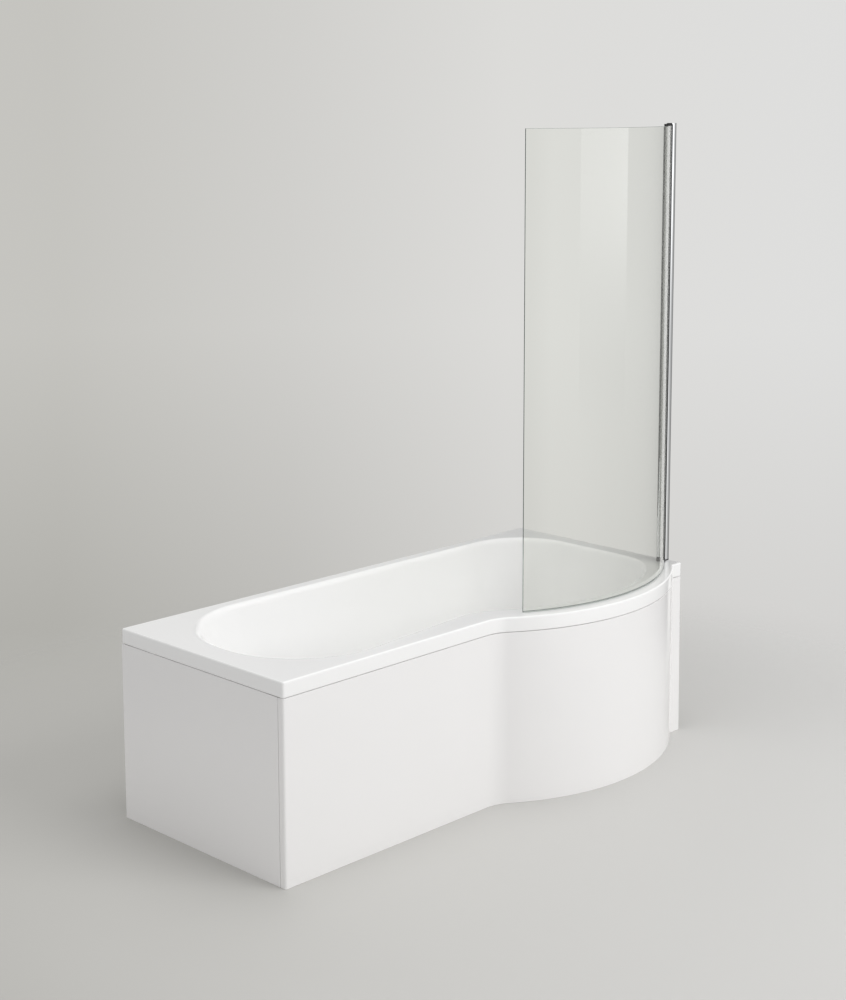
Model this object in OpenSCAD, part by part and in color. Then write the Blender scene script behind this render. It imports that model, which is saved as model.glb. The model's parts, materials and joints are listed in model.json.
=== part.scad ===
// P-shaped shower bath: acrylic bath with a bulged shower end, front and end panels,
// leg set, waste and a curved glass screen hinged on a wall profile.
// Millimetres. Origin: centre of the overall footprint, on the floor.
// +X towards the shower end (wall with the screen), +Y towards the long back wall.

/* [Bath rim] */
// Overall length
bath_length = 1700; // [1650:10:1800]
// Overall width across the bulge
wide_width = 850; // [830:5:880]
// Width at the narrow end
narrow_width = 700; // [690:5:730]
// Height of the rim above the floor
rim_height = 565; // [520:5:600]
// Depth of the turned-down lip
lip_depth = 43; // [35:1:50]
// Thickness of the reinforced acrylic shell
shell_t = 5; // [4:0.5:7]
// Rounding of the rim's top edge
rim_edge_r = 5; // [3:0.5:6]
// Plan radius of the four rim corners
rim_corner_r = 7; // [6.5:0.5:12]
// Plan radius of the bulge
bulge_r = 660; // [640:5:700]
// Plan radius of the hollow bend where the bulge begins
entry_r = 120; // [90:5:180]
// Flat length beside the wall at the shower end
wall_strip = 45; // [35:1:60]
// Hollow plan radius between the bulge and that flat
strip_blend_r = 6; // [4:1:10]

/* [Well] */
// Deck width along the back wall
deck_back = 46; // [44:1:60]
// Deck width at the narrow end
deck_narrow_end = 85; // [80:1:110]
// Deck width at the shower end
deck_wide_end = 62; // [60:1:75]
// Deck width at the waist, where the bulge begins
deck_waist = 97; // [90:1:110]
// Deck width around the bulge
deck_bulge = 91; // [85:1:105]
// Deck width in front at the narrow end
deck_front = 32; // [28:1:40]
// Depth from the deck to the well floor
well_depth = 410; // [380:5:430]
// Length of the rounding from the deck into the well
well_edge_r = 12; // [8:1:16]
// Run of the sloping backrest at the narrow end
backrest_run = 290; // [240:10:320]
// Batter of the back wall of the well
batter_back = 35; // [25:1:45]
// Batter of the front wall of the well
batter_front = 40; // [30:1:50]
// Batter of the shower end of the well
batter_wide = 40; // [30:1:50]
// Width of the cove between wall and floor
floor_cove = 80; // [60:5:90]
// Fall of the floor to the waste
floor_fall = 5; // [3:1:8]
// Plan radii of the well's edge: narrow back, narrow front, waist, shower front, shower back
well_radii = [294, 265, 200, 200, 200];

/* [Waste] */
// Distance of the waste from the shower end of the bath
waste_from_end = 260; // [255:5:300]
// Distance of the waste from the back wall
waste_from_back = 380; // [340:5:400]
// Hole in the well floor
waste_hole_d = 52; // [50:0.5:54]
// Outside of the threaded tail
waste_tail_d = 47.8; // [46:0.2:48.6]
// Outside of the shank above the trap's thread
waste_shank_d = 46.8; // [45:0.2:47.4]
// Length of the trap's thread
trap_thread_l = 36; // [28:1:38]
// Bore of the waste
waste_bore_d = 40; // [36:1:42]
// Flange across
waste_flange_d = 70; // [66:1:76]
// Length of the tail below the shell
waste_tail_len = 55; // [45:1:70]
// Lift of the plug when it is open
plug_travel = 8; // [6:0.5:10]

/* [Panels] */
// Thickness of the bath panels
panel_t = 4; // [3:0.5:5]
// Shadow gap between rim and panels
panel_gap = 2.5; // [1:0.5:3]
// Return of the front panel around the narrow corner
panel_return = 20; // [16:1:30]
// Joint between front panel and end panel
panel_joint = 2; // [0.5:0.5:2]
// Width of the turned-in foot flange
panel_foot = 22; // [18:1:30]
// Height of the tongue that stands behind the rim lip
tongue_h = 22; // [15:1:26]

/* [Frame and legs] */
// Width of the rim battens
batten_w = 18; // [15:1:18]
// Distance from the rim's edge to the battens behind the panels
clip_space = 16; // [15:0.5:16]
// Thickness of the baseboard
baseboard_t = 15; // [12:1:18]
// Length of the baseboard
baseboard_l = 1030; // [900:10:1040]
// Width of the baseboard
baseboard_w = 300; // [260:5:305]
// Width of a leg rail
rail_w = 40; // [36:1:50]
// Depth of a leg rail
rail_h = 20; // [16:1:24]
// Sheet thickness of rails and brackets
sheet_t = 2; // [1.5:0.5:2.5]
// Distance from the bath's front line to the narrow leg rail
narrow_rail_clear = 70; // [60:5:100]
// Distance from the bulge's foremost line to the wide leg rail
wide_rail_clear = 110; // [100:5:190]
// Distance between the two leg rails
rail_pitch = 680; // [600:10:700]
// Distance from a rail's end to its leg
leg_from_end = 35; // [30:1:45]
// Diameter of the leg studs
stud_d = 12; // [10:1:12]
// Length of the leg studs above their upper nuts
stud_over = 10; // [4:1:14]
// Diameter of the feet
foot_d = 50; // [40:2:60]
// Distance between the two wall brackets
bracket_pitch = 1000; // [800:20:1100]
// Distance between the two holes in a wall bracket
bracket_hole_pitch = 40; // [30:2:50]

/* [Screen] */
// Length of the curved glass, along the curve
glass_length = 813; // [700:5:830]
// Height of the glass
glass_height = 1401; // [1300:5:1450]
// Thickness of the glass
glass_t = 6; // [5:1:8]
// Plan radius of the middle of the glass
screen_r = 650; // [630:5:680]
// Distance from the bulge's edge to the middle of the glass
screen_inset = 41; // [36:1:50]
// Space under the glass
glass_gap = 4; // [3:0.5:6]
// Distance from the wall to the hinge axis
pivot_from_wall = 33; // [33:1:40]
// Distance from the bath's front line to the hinge axis
pivot_from_front = 63.2; // [60:0.2:68]
// Radius of the hinge barrel
barrel_r = 9.5; // [9:0.5:10]
// Distance from the hinge axis to the middle of the glass
glass_offset = 9.8; // [9.8:0.2:10.6]
// Length of the jaws that grip the glass
jaw_length = 26; // [22:1:32]
// Wall thickness of the jaws
jaw_t = 2.5; // [2:0.5:3]
// Depth of the wall channel
channel_depth = 22; // [20:1:22]
// Width of the wall channel
channel_w = 26; // [25:0.5:28]
// Wall thickness of the wall channel
channel_t = 1.6; // [1.2:0.2:2]
// Number of wall screw holes in the channel
channel_holes = 4; // [2:1:5]

/* [Hidden] */
$fn = 64;
eps = 0.01;

// Plan reference lines and circle centres of the rim
left_x = -bath_length / 2;
right_x = bath_length / 2;
back_y = wide_width / 2;
front_y = back_y - narrow_width;
bulge_y = -wide_width / 2 + bulge_r;
strip_x = right_x - wall_strip;
strip_y = front_y - strip_blend_r;
bulge_x = strip_x - sqrt(pow(bulge_r + strip_blend_r, 2) - pow(bulge_y - strip_y, 2));
entry_y = front_y - entry_r;
entry_x = bulge_x - sqrt(pow(bulge_r + entry_r, 2) - pow(bulge_y - entry_y, 2));
bulge_c = [bulge_x, bulge_y];
entry_c = [entry_x, entry_y];
strip_c = [strip_x, strip_y];
// Angle in plan between the well's front edge and the bath's front
front_taper = atan((deck_waist - deck_front) / (entry_x - left_x - deck_narrow_end));

// Heights
lip_z = rim_height - lip_depth;
deck_under = rim_height - shell_t;
floor_z = rim_height - well_depth;
sump_z = floor_z - floor_fall;
base_z = sump_z - shell_t;
board_z = base_z - baseboard_t;
rail_z = board_z - rail_h;
panel_top = lip_z - panel_gap;

// Number of steps along each part of an outline
corner_steps = 14;
entry_steps = 9;
bulge_steps = 32;
strip_steps = 3;

function direction(from, to) = atan2(to.y - from.y, to.x - from.x);
function polar(r, a) = r * [cos(a), sin(a)];
function arc_pts(c, r, a0, a1, n, first = 0) =
    [for (k = [first:n]) c + polar(r, a0 + (a1 - a0) * k / n)];
function ring_at(pts, z) = [for (p = pts) [p.x, p.y, z]];
function blend_ring(a, b, s) = [for (k = [0:len(a) - 1]) a[k] + (b[k] - a[k]) * s];
function curve_ring(a, b, c, s) = blend_ring(blend_ring(a, b, s), blend_ring(b, c, s), s);

// Both outlines have the same number of points: last point before each straight, and points added on it
narrow_straight = [corner_steps, 2];
front_straight = [2 * corner_steps + 1, 4];
wide_straight = [3 * corner_steps + entry_steps + bulge_steps + 2, 4];
back_straight = [4 * corner_steps + entry_steps + bulge_steps + 3, 9];
straights = [narrow_straight, front_straight, wide_straight, back_straight];
function spread(ring) =
    [for (k = [0:len(ring) - 1])
        let (next = ring[(k + 1) % len(ring)], added = [for (s = straights) if (s[0] == k) s[1]],
             n = len(added) > 0 ? added[0] : 0)
        for (j = [0:n]) ring[k] + (next - ring[k]) * j / (n + 1)];

// Outline of the rim, moved inwards by inset
function rim_ring(inset) =
    let (r = rim_corner_r - inset,
         x0 = left_x + rim_corner_r, x1 = right_x - rim_corner_r,
         y0 = front_y + rim_corner_r, y1 = back_y - rim_corner_r,
         a_in = direction(entry_c, bulge_c), a_out = direction(bulge_c, strip_c))
    spread(concat(
        arc_pts([x0, y1], r, 90, 180, corner_steps),
        arc_pts([x0, y0], r, 180, 270, corner_steps),
        arc_pts(entry_c, entry_r + inset, 90, a_in, entry_steps),
        arc_pts(bulge_c, bulge_r - inset, a_in + 180, a_out + 360, bulge_steps, 1),
        arc_pts(strip_c, strip_blend_r + inset, a_out + 180, 90, strip_steps, 1),
        arc_pts([x1, y0], r, 270, 360, corner_steps - strip_steps - 1),
        arc_pts([x1, y1], r, 0, 90, corner_steps)));

// Outline of the well from its deck widths [narrow, wide, back, waist, bulge] and its radii
function well_ring(deck, radii) =
    let (t = front_taper, along = [cos(t), sin(t)], inward = [-sin(t), cos(t)],
         q = [entry_x, front_y + deck[3]], xn = left_x + deck[0], xw = right_x - deck[1],
         yb = back_y - deck[2], rb = bulge_r - deck[4],
         rnb = radii[0], rnf = radii[1], rs = radii[2], rwf = radii[3], rwb = radii[4],
         c_nf = [xn + rnf, q.y + (xn + rnf - q.x) * tan(t) + rnf / cos(t)],
         w = q - rs * inward - bulge_c, wa = w * along,
         c_s = q - rs * inward - along * (wa + sqrt(wa * wa - w * w + pow(rb + rs, 2))),
         xf = xw - rwf,
         c_wf = [xf, bulge_y - sqrt(pow(rb - rwf, 2) - pow(xf - bulge_x, 2))],
         a_in = direction(c_s, bulge_c), a_out = direction(bulge_c, c_wf))
    spread(concat(
        arc_pts([xn + rnb, yb - rnb], rnb, 90, 180, corner_steps),
        arc_pts(c_nf, rnf, 180, 270 + t, corner_steps),
        arc_pts(c_s, rs, 90 + t, a_in, entry_steps),
        arc_pts(bulge_c, rb, a_in + 180, a_out + 360, bulge_steps, 1),
        arc_pts(c_wf, rwf, a_out, 0, corner_steps, 1),
        arc_pts([xw - rwb, yb - rwb], rwb, 0, 90, corner_steps)));

// Plan region inside the rim, moved inwards by inset, with exact arcs
module footprint(inset = 0) {
    r = max(rim_corner_r - inset, eps);
    difference() {
        union() {
            for (x = [left_x + inset + r, right_x - inset - r],
                 y = [front_y + inset + r, back_y - inset - r])
                translate([x, y]) circle(r);
            translate([left_x + inset, front_y + inset + r])
                square([bath_length - 2 * inset, narrow_width - 2 * inset - 2 * r]);
            translate([left_x + inset + r, front_y + inset])
                square([bath_length - 2 * inset - 2 * r, narrow_width - 2 * inset]);
            intersection() {
                translate(bulge_c) circle(bulge_r - inset, $fn = 200);
                translate([entry_x, -wide_width]) square([strip_x - entry_x, wide_width]);
            }
            polygon([entry_c, bulge_c, strip_c, [strip_x, front_y + inset], [entry_x, front_y + inset]]);
        }
        translate(entry_c) circle(entry_r + inset, $fn = 120);
        translate(strip_c) circle(strip_blend_r + inset);
    }
}

// Band of the plan between two insets
module band(outer, inner) {
    difference() {
        footprint(outer);
        footprint(inner);
    }
}

/* Bath shell */

deck_widths = [deck_narrow_end, deck_wide_end, deck_back, deck_waist, deck_bulge];
batters = [backrest_run, batter_wide, batter_back, batter_front, batter_wide];
// How each radius of the well changes when its outline moves inwards
radius_sense = [-1, -1, 1, -1, -1];
corner_radii = [200, 185, well_radii[2] + batter_front, 160, 160];
wall_top = 0.05;
wall_foot = 0.8;

function moved(deck, by) = [for (d = deck) d + by];
function moved_radii(radii, by) = [for (k = [0:4]) radii[k] + radius_sense[k] * by];
// Outline of the well at the deck and where the wall lines meet the floor
function deck_line(by) = well_ring(moved(deck_widths, by), moved_radii(well_radii, by));
function foot_line(by) = well_ring(moved(deck_widths + batters, by), moved_radii(corner_radii, by));

// Rings of one face of the well, from the deck down to the floor
function well_face(out, deck_z, foot_z, steps) =
    let (start = ring_at(deck_line(-well_edge_r - out), deck_z),
         edge = ring_at(deck_line(-out), deck_z),
         foot = ring_at(foot_line(-out), foot_z),
         flat_ = ring_at(foot_line(floor_cove - out), foot_z),
         upper = blend_ring(edge, foot, wall_top),
         lower = blend_ring(edge, foot, wall_foot))
    concat(
        [for (k = [0:steps[0]]) curve_ring(start, edge, upper, k / steps[0])],
        [for (k = [1:steps[1]]) blend_ring(upper, lower, k / steps[1])],
        [for (k = [1:steps[2]]) curve_ring(lower, foot, flat_, k / steps[2])]);

waste_c = [right_x - waste_from_end, back_y - waste_from_back];
sump_r = waste_flange_d / 2 + 8;

module bath_shell() {
    inside = well_face(0, rim_height, floor_z, [5, 3, 7]);
    under = well_face(shell_t, deck_under, base_z, [2, 2, 5]);
    n = len(inside[0]);
    sump = [for (p = foot_line(floor_cove)) waste_c + polar(sump_r, direction(waste_c, p))];
    rings = concat(
        [for (k = [len(under) - 1:-1:0]) under[k]],
        [ring_at(rim_ring(shell_t), deck_under), ring_at(rim_ring(shell_t), lip_z),
         ring_at(rim_ring(0), lip_z)],
        [for (a = [0, 30, 60, 90])
            ring_at(rim_ring(rim_edge_r * (1 - cos(a))), rim_height - rim_edge_r * (1 - sin(a)))],
        inside,
        [ring_at(sump, sump_z)]);
    last = (len(rings) - 1) * n;
    faces = concat(
        [[for (k = [0:n - 1]) k]],
        [for (i = [0:len(rings) - 2], k = [0:n - 1], half = [0, 1])
            let (a = i * n + k, b = i * n + (k + 1) % n)
            half == 0 ? [a, a + n, b + n] : [a, b + n, b]],
        [[for (k = [n - 1:-1:0]) last + k]]);
    color("white") difference() {
        polyhedron([for (ring = rings, p = ring) p], faces);
        translate([waste_c.x, waste_c.y, base_z - 1])
            cylinder(d = waste_hole_d, h = shell_t + floor_fall + 2);
    }
}

/* Timber frame under the deck and the floor */

fit = 1;
batten_z = lip_z;
rim_batten_h = deck_under - batten_z;
end_clear = 45;

module wood_block(size, at) {
    color("burlywood") translate(at) cube(size);
}

// The baseboard lies under the flat floor of the well, this far inside its end and back edges
board_clear = [15, 10];
board_x = right_x - deck_wide_end - batter_wide - floor_cove - board_clear.x - baseboard_l;
board_y = back_y - deck_back - batter_back - floor_cove - board_clear.y - baseboard_w;
board_mid_y = board_y + baseboard_w / 2;
board_corner_r = 40;

module baseboard() {
    r = board_corner_r;
    x = board_x;
    y = board_y;
    color("tan") difference() {
        translate([0, 0, board_z]) linear_extrude(baseboard_t) difference() {
            union() {
                translate([x + r, y]) square([baseboard_l - 2 * r, baseboard_w]);
                translate([x, y + r]) square([baseboard_l, baseboard_w - 2 * r]);
                for (cx = [x + r, x + baseboard_l - r], cy = [y + r, y + baseboard_w - r])
                    translate([cx, cy]) circle(r);
            }
            translate(waste_c) circle(d = board_hole_d);
        }
        at_rail_screws() cylinder(d = screw_d, h = screw_l);
    }
}

module rim_batten_back() {
    color("burlywood") difference() {
        translate([left_x + end_clear, back_y - shell_t - fit - batten_w, batten_z])
            cube([bath_length - 2 * end_clear, batten_w, rim_batten_h]);
        at_bracket_screws() cylinder(d = screw_d, h = screw_l);
    }
}

module rim_batten_front() {
    color("burlywood") difference() {
        translate([0, 0, batten_z]) linear_extrude(rim_batten_h) intersection() {
            band(clip_space, clip_space + batten_w);
            translate([left_x + end_clear, -wide_width])
                square([strip_x - left_x - 2 * end_clear, wide_width + front_y + clip_space + batten_w]);
        }
        at_clips() clip_screw_hole();
    }
}

module rim_batten_narrow_end() {
    color("burlywood") difference() {
        translate([left_x + clip_space, front_y + end_clear, batten_z])
            cube([batten_w, narrow_width - 2 * end_clear, rim_batten_h]);
        at_clips() clip_screw_hole();
    }
}

module rim_batten_shower_end() {
    wood_block([batten_w, narrow_width - 3 * end_clear, rim_batten_h],
        [right_x - shell_t - fit - batten_w, front_y + 2 * end_clear, batten_z]);
}

/* Leg set */

screw_d = 4;
screw_l = 14;
head_d = 8;
head_h = 2.5;
nut_d = 21;
nut_h = 10;
pad_h = 8;
boss_h = 14;
stud_top = board_z + nut_h + stud_over;
board_hole_d = 95;
rail_mid_x = board_x + baseboard_l / 2;
narrow_rail_x = rail_mid_x - rail_pitch / 2;
wide_rail_x = rail_mid_x + rail_pitch / 2;
rail_from_back = 60;
rail_back_y = back_y - rail_from_back;
narrow_rail_l = narrow_width - rail_from_back - narrow_rail_clear;
wide_rail_l = wide_width - rail_from_back - wide_rail_clear;
plate_w = 80;
plate_screw = 30;
boss_r = 11;
rail_ends = [[narrow_rail_x, narrow_rail_l], [wide_rail_x, wide_rail_l]];
leg_pts = [for (r = rail_ends, y = [leg_from_end, r[1] - leg_from_end]) [r[0], rail_back_y - y]];
centre_leg = [rail_mid_x, board_mid_y];
screw_reach = baseboard_w / 2 - board_corner_r;

// Screws that hold the rails and the plate to the baseboard
module at_rail_screws() {
    for (r = rail_ends, y = [-screw_reach, -screw_reach / 2, screw_reach / 2, screw_reach])
        translate([r[0], board_mid_y + y, board_z - sheet_t]) children();
    for (x = [-1, 1], y = [-1, 1])
        translate([centre_leg.x + x * plate_screw, centre_leg.y + y * plate_screw, board_z - sheet_t])
            children();
}

module pan_screw() {
    cylinder(d = screw_d, h = screw_l);
    translate([0, 0, -head_h]) cylinder(d = head_d, h = head_h);
}

module leg_rail(x, length) {
    color("silver") difference() {
        translate([x - rail_w / 2, rail_back_y, rail_z]) rotate([90, 0, 0]) linear_extrude(length)
            difference() {
                square([rail_w, rail_h]);
                translate([sheet_t, -eps]) square([rail_w - 2 * sheet_t, rail_h - sheet_t + eps]);
            }
        for (p = leg_pts) translate([p.x, p.y, rail_z]) cylinder(d = stud_d + 0.5, h = rail_h + 1);
        at_rail_screws() translate([0, 0, -eps]) cylinder(d = screw_d, h = screw_l);
    }
}

module leg_rail_narrow() leg_rail(narrow_rail_x, narrow_rail_l);

module leg_rail_wide() leg_rail(wide_rail_x, wide_rail_l);

module centre_leg_plate() {
    color("silver") difference() {
        union() {
            translate([centre_leg.x - plate_w / 2, centre_leg.y - plate_w / 2, board_z - sheet_t])
                cube([plate_w, plate_w, sheet_t]);
            translate([centre_leg.x, centre_leg.y, board_z - boss_h]) cylinder(r = boss_r, h = boss_h);
        }
        translate([centre_leg.x, centre_leg.y, board_z - boss_h - 1]) cylinder(d = stud_d, h = boss_h + 2);
        at_rail_screws() translate([0, 0, -eps]) cylinder(d = screw_d, h = screw_l);
    }
}

module leg_studs() {
    color("silver") {
        for (p = leg_pts) translate([p.x, p.y, pad_h]) cylinder(d = stud_d, h = stud_top - pad_h);
        translate([centre_leg.x, centre_leg.y, pad_h]) cylinder(d = stud_d, h = board_z - pad_h);
    }
}

module hex_nut() {
    difference() {
        cylinder(d = nut_d, h = nut_h, $fn = 6);
        translate([0, 0, -1]) cylinder(d = stud_d, h = nut_h + 2);
    }
}

module leg_nuts() {
    color("silver") {
        for (p = leg_pts, z = [pad_h + boss_h, board_z - sheet_t - nut_h, board_z])
            translate([p.x, p.y, z]) hex_nut();
        translate([centre_leg.x, centre_leg.y, pad_h + boss_h]) hex_nut();
        translate([centre_leg.x, centre_leg.y, board_z - boss_h - nut_h]) hex_nut();
    }
}

module leg_feet() {
    rf = foot_d / 2;
    rb = stud_d / 2 + 5;
    color("dimgray") for (p = concat(leg_pts, [centre_leg])) translate([p.x, p.y, 0])
        rotate_extrude() polygon([[0, 0], [rf - 2, 0], [rf, 2], [rf, 5], [rf - 4, pad_h],
            [rb + 2, pad_h + 3], [rb, pad_h + 6], [rb, pad_h + boss_h], [stud_d / 2, pad_h + boss_h],
            [stud_d / 2, pad_h], [0, pad_h]]);
}

module rail_screws() {
    color("silver") at_rail_screws() pan_screw();
}

/* Wall brackets */

bracket_w = 40;
bracket_h = 90;
bracket_tab = 30;
bracket_hole_d = 6;
bracket_hole_z = lip_z - bracket_h / 2 + 3;

module at_bracket_screws() {
    for (x = [-bracket_pitch / 2, bracket_pitch / 2], dx = [-bracket_w / 4, bracket_w / 4])
        translate([x + dx, back_y - shell_t - fit - batten_w / 2, batten_z - sheet_t]) children();
}

module wall_brackets() {
    color("silver") difference() {
        for (x = [-bracket_pitch / 2, bracket_pitch / 2]) {
            translate([x - bracket_w / 2, back_y - sheet_t, lip_z - bracket_h])
                cube([bracket_w, sheet_t, bracket_h]);
            translate([x - bracket_w / 2, back_y - bracket_tab, lip_z - sheet_t])
                cube([bracket_w, bracket_tab, sheet_t]);
        }
        for (x = [-0.5, 0.5] * bracket_pitch, z = [-0.5, 0.5] * bracket_hole_pitch)
            translate([x, back_y + 1, bracket_hole_z + z]) rotate([90, 0, 0])
                cylinder(d = bracket_hole_d, h = sheet_t + 2);
        at_bracket_screws() translate([0, 0, -eps]) cylinder(d = screw_d, h = screw_l);
    }
}

module bracket_screws() {
    color("silver") at_bracket_screws() pan_screw();
}

/* Waste */

washer_t = 1.5;
lower_washer_t = 3;
nut_z = base_z - lower_washer_t;
flange_z = sump_z + washer_t;
flange_h = 3;
tail_r = waste_tail_d / 2;
shank_r = waste_shank_d / 2;
tail_z = base_z - waste_tail_len;
bore_r = waste_bore_d / 2;
flange_r = waste_flange_d / 2;
stem_r = 3.5;
stem_play = 0.08;
cartridge_h = 25;
seal_t = 1.5;
plug_gap = 0.3;
plug_r = flange_r - 4;
backnut_h = 10;

module at_waste(z) {
    translate([waste_c.x, waste_c.y, z]) children();
}

module waste_fitting() {
    color("silver") at_waste(0) rotate_extrude() polygon([
        [bore_r, tail_z], [tail_r - 1, tail_z], [tail_r, tail_z + 1], [tail_r, tail_z + 1 + trap_thread_l],
        [shank_r, tail_z + 2 + trap_thread_l], [shank_r, flange_z], [flange_r, flange_z],
        [flange_r, flange_z + 1], [flange_r - 2, flange_z + flange_h - 0.4],
        [flange_r - 6, flange_z + flange_h], [bore_r + 3, flange_z + flange_h],
        [bore_r, flange_z + flange_h - 1]]);
}

module ring(r_out, r_in, h) {
    rotate_extrude() translate([r_in, 0]) square([r_out - r_in, h]);
}

module waste_gaskets() {
    color("dimgray") {
        at_waste(sump_z) ring(flange_r - 1, shank_r, washer_t);
        at_waste(nut_z) ring(flange_r + 1, shank_r, lower_washer_t);
    }
}

module waste_backnut() {
    color("gainsboro") at_waste(nut_z - backnut_h) difference() {
        union() {
            cylinder(r = flange_r - 3, h = backnut_h);
            for (a = [0:60:300]) rotate(a) translate([flange_r - 6, -3, 0]) cube([6, 6, backnut_h]);
        }
        translate([0, 0, -1]) cylinder(r = shank_r, h = backnut_h + 2);
    }
}

module waste_cartridge() {
    color("gainsboro") at_waste(base_z - cartridge_h) difference() {
        union() {
            cylinder(r = stem_r + 4, h = cartridge_h);
            intersection() {
                for (a = [0:120:240]) rotate(a) translate([0, -1.5, 0]) cube([bore_r, 3, cartridge_h / 2]);
                cylinder(r = bore_r, h = cartridge_h);
            }
        }
        translate([0, 0, -1]) cylinder(r = stem_r + stem_play, h = cartridge_h + 2);
    }
}

seal_z = flange_z + flange_h + plug_gap;

module waste_plug() {
    z0 = seal_z + seal_t;
    color("silver") at_waste(0) rotate_extrude() polygon([
        [0, base_z - cartridge_h + 2], [stem_r, base_z - cartridge_h + 2], [stem_r, z0 - 2],
        [bore_r - 4, z0], [plug_r, z0], [plug_r, z0 + 1.5],
        for (a = [0:15:90]) [(plug_r - 0.5) * cos(a) * (1 - 0.02 * sin(a)), z0 + 1.5 + 4.5 * sin(a)]]);
}

module plug_seal() {
    color("dimgray") at_waste(seal_z) ring(plug_r - 3, bore_r - 2, seal_t);
}

/* Panels */

tongue_inset = shell_t + fit;

// Front panel's path in plan, from the end panel round the near corner and the bulge to the wall
function panel_path(inset, wall_gap) =
    let (r = rim_corner_r - inset, x0 = left_x + rim_corner_r, y0 = front_y + rim_corner_r,
         a_in = direction(entry_c, bulge_c), a_out = direction(bulge_c, strip_c))
    concat(
        [[left_x + inset, front_y + panel_return]],
        r > 0 ? arc_pts([x0, y0], r, 180, 270, corner_steps) : [[left_x + inset, front_y + inset]],
        arc_pts(entry_c, entry_r + inset, 90, a_in, entry_steps),
        arc_pts(bulge_c, bulge_r - inset, a_in + 180, a_out + 360, bulge_steps, 1),
        arc_pts(strip_c, strip_blend_r + inset, a_out + 180, 90, strip_steps, 1),
        [[right_x - wall_gap, front_y + inset]]);

// One band of the front panel between two insets and two heights
module panel_band(outer, inner, z0, z1, wall_gap = 0) {
    back = panel_path(inner, wall_gap);
    translate([0, 0, z0]) linear_extrude(z1 - z0)
        polygon(concat(panel_path(outer, wall_gap), [for (k = [len(back) - 1:-1:0]) back[k]]));
}

// Skin, foot flange, top web and tongue; each band ends inside its neighbour
module front_panel() {
    web_z = panel_top - panel_t;
    color("white") {
        panel_band(0, panel_t, 0, panel_top);
        panel_band(panel_t / 2, panel_foot, 0, panel_t);
        panel_band(panel_t / 2, tongue_inset + panel_t / 2, web_z, panel_top);
        panel_band(tongue_inset, tongue_inset + panel_t, web_z, panel_top + tongue_h, tongue_inset);
    }
}

module end_panel() {
    y0 = front_y + panel_return + panel_joint;
    length = back_y - y0;
    color("white") translate([left_x, y0, 0]) {
        cube([panel_t, length, panel_top]);
        cube([panel_foot, length, panel_t]);
        for (y = [0, length - panel_t]) translate([0, y, 0]) cube([panel_foot, panel_t, panel_top]);
        translate([0, 0, panel_top - panel_t]) cube([tongue_inset + panel_t, length, panel_t]);
        translate([tongue_inset, end_clear, panel_top - panel_t])
            cube([panel_t, length - 2 * end_clear, panel_t + tongue_h]);
    }
}

clip_w = 24;
clip_t = 1.5;
clip_shares = [0.18, 0.48, 0.78];
clip_angles = [250, 270, 290];
end_clip_shares = [0.3, 0.7];
clip_top = panel_top + tongue_h + 2;
clip_screw_d = 3.2;
clip_screw_l = batten_w - 3;
clip_head_h = 1.2;
clip_screw_z = clip_top - 6;

// Places behind the panels: each child is turned with its +Y pointing in from the rim's edge
module at_clips() {
    for (s = clip_shares) translate([left_x + s * (entry_x - left_x), front_y, 0]) children();
    for (a = clip_angles) translate(bulge_c + polar(bulge_r, a)) rotate(a - 270) children();
    for (s = end_clip_shares)
        translate([left_x, front_y + s * narrow_width, 0]) rotate(-90) children();
}

module clip_screw_hole() {
    translate([0, clip_space - 1, clip_screw_z]) rotate([-90, 0, 0])
        cylinder(d = clip_screw_d, h = clip_screw_l);
}

module panel_clips() {
    y0 = tongue_inset + panel_t + 0.3;
    y1 = clip_space;
    color("gainsboro") at_clips() difference() {
        translate([clip_w / 2, 0, clip_top]) rotate([90, 0, -90]) linear_extrude(clip_w)
            polygon([[-y0, 0], [-y0, -14], [-y0 - 0.6, -18], [-y0 - clip_t, -14], [-y0 - clip_t, -clip_t],
                [-y1 + clip_t, -clip_t], [-y1 + clip_t, -20], [-y1, -20], [-y1, 0]]);
        translate([0, y0 - 2, clip_screw_z]) rotate([-90, 0, 0]) cylinder(d = clip_screw_d, h = clip_space);
    }
}

module clip_screws() {
    color("silver") at_clips() translate([0, clip_space - clip_t, clip_screw_z]) rotate([-90, 0, 0]) {
        cylinder(d = clip_screw_d, h = clip_screw_l);
        translate([0, 0, -clip_head_h]) cylinder(d = 2 * clip_screw_d, h = clip_head_h);
    }
}

floor_batten_w = 25;
floor_batten_h = 20;

module floor_batten_front() {
    outer = panel_foot + fit;
    inner = outer + floor_batten_w;
    color("burlywood") linear_extrude(floor_batten_h) intersection() {
        band(outer, inner);
        translate([left_x + 2 * end_clear, -wide_width])
            square([strip_x - left_x - 3 * end_clear, wide_width + front_y + inner]);
    }
}

module floor_batten_end() {
    wood_block([floor_batten_w, narrow_width - 2 * end_clear, floor_batten_h],
        [left_x + panel_foot + fit, front_y + end_clear, 0]);
}

/* Screen: wall channel, post, pivots, rail, glass */

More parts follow.
